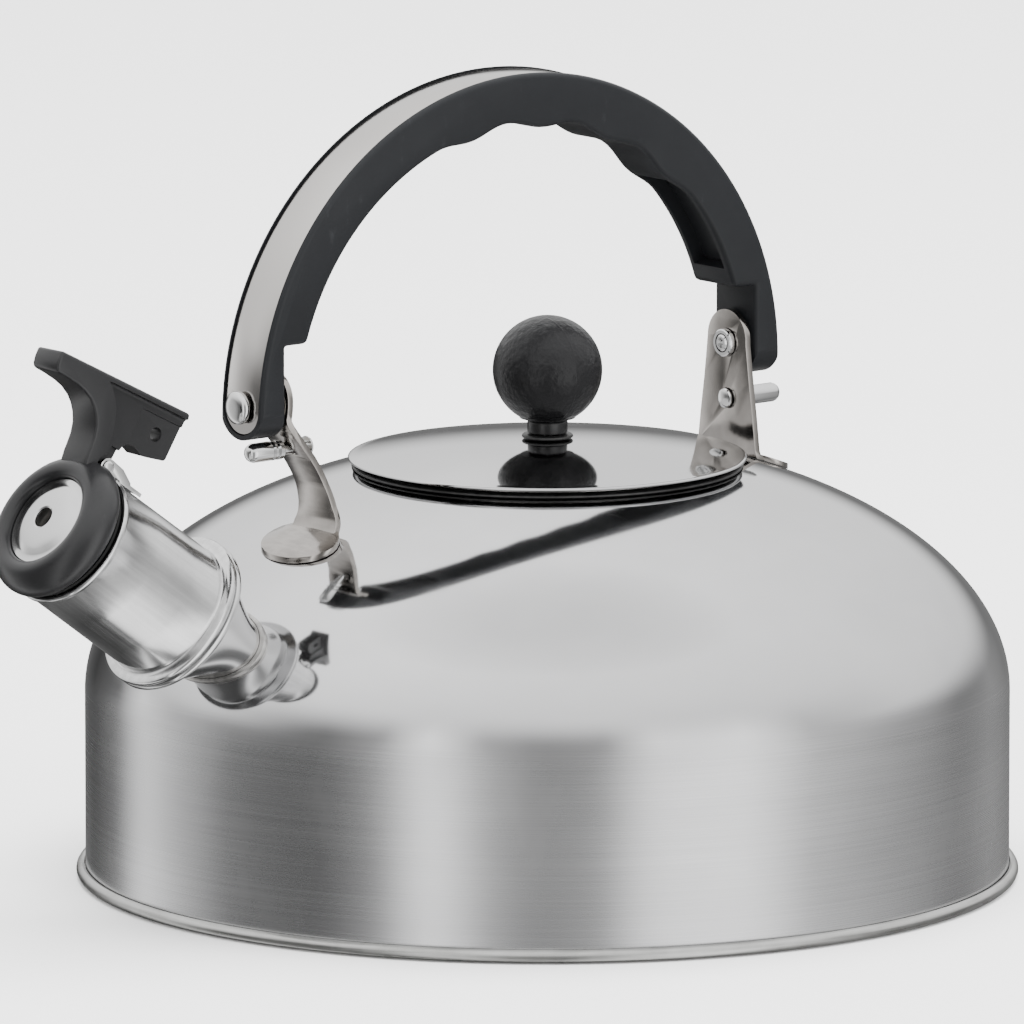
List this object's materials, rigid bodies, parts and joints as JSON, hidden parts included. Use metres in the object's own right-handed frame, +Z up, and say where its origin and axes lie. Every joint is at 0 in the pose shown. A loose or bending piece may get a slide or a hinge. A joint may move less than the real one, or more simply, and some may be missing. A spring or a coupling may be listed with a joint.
{
  "type": "stovetop whistling kettle",
  "caption": "Stovetop kettle with a domed steel body, lift-off lid with ball knob, fold-down arch handle and a spout with a flip-up lever whistle.",
  "frame": {"origin": "centre of the flat base where it stands on the hob", "axes": "+Z up through the lid knob, the spout points along -X, +Y is square to the handle plane"},
  "size_m": [0.2721, 0.224, 0.1938],
  "materials": {
    "polished_steel": "mirror-polished stainless steel",
    "satin_steel": "satin stainless steel",
    "black_plastic": "satin black heat-resistant plastic",
    "black_rubber": "matt black silicone"
  },
  "bodies": {
    "kettle": {"body_wall": "polished_steel", "body_dome": "polished_steel", "filling_collar": "polished_steel", "base_plate": "satin_steel", "base_heat_disc": "satin_steel", "spout_neck": "polished_steel", "spout_weld": "satin_steel", "spout_sleeve": "polished_steel", "hinge_bracket": "satin_steel", "hinge_pin": "satin_steel", "front_bracket": "satin_steel", "rear_bracket": "satin_steel", "stop_stud_front": "polished_steel", "stop_stud_rear": "polished_steel", "pivot_bolt_front": "polished_steel", "pivot_bolt_rear": "polished_steel", "pivot_washer_front": "satin_steel", "pivot_washer_rear": "satin_steel", "pivot_nut_front": "satin_steel", "pivot_nut_rear": "satin_steel"},
    "handle": {"handle_grip": "black_plastic", "handle_strip": "polished_steel"},
    "lid": {"lid_plate": "polished_steel", "lid_locating_ring": "satin_steel", "lid_knob": "black_plastic", "knob_collar": "polished_steel", "knob_washer": "polished_steel", "lid_screw": "satin_steel", "lid_screw_washer": "satin_steel"},
    "whistle": {"whistle_cap": "black_plastic", "whistle_disc_outer": "polished_steel", "whistle_disc_inner": "satin_steel", "whistle_seal": "black_rubber", "whistle_spring": "satin_steel"}
  },
  "joints": [
    {"name": "handle_swing", "type": "hinge", "parent": "kettle", "child": "handle", "pos_m": [0, 0, 0.1218], "axis": [1, 0, 0], "range_deg": [-100, 100]},
    {"name": "lid_lift", "type": "slide", "parent": "kettle", "child": "lid", "axis": [0, 0, 1], "range_m": [0, 0.04]},
    {"name": "whistle_flip", "type": "hinge", "parent": "kettle", "child": "whistle", "pos_m": [-0.13635, 0, 0.11304], "axis": [0, 1, 0], "range_deg": [0, 32], "stiffness_Nm_per_rad": 0.03, "springref_deg": -34.38, "deforming": ["whistle_spring"]}
  ]
}
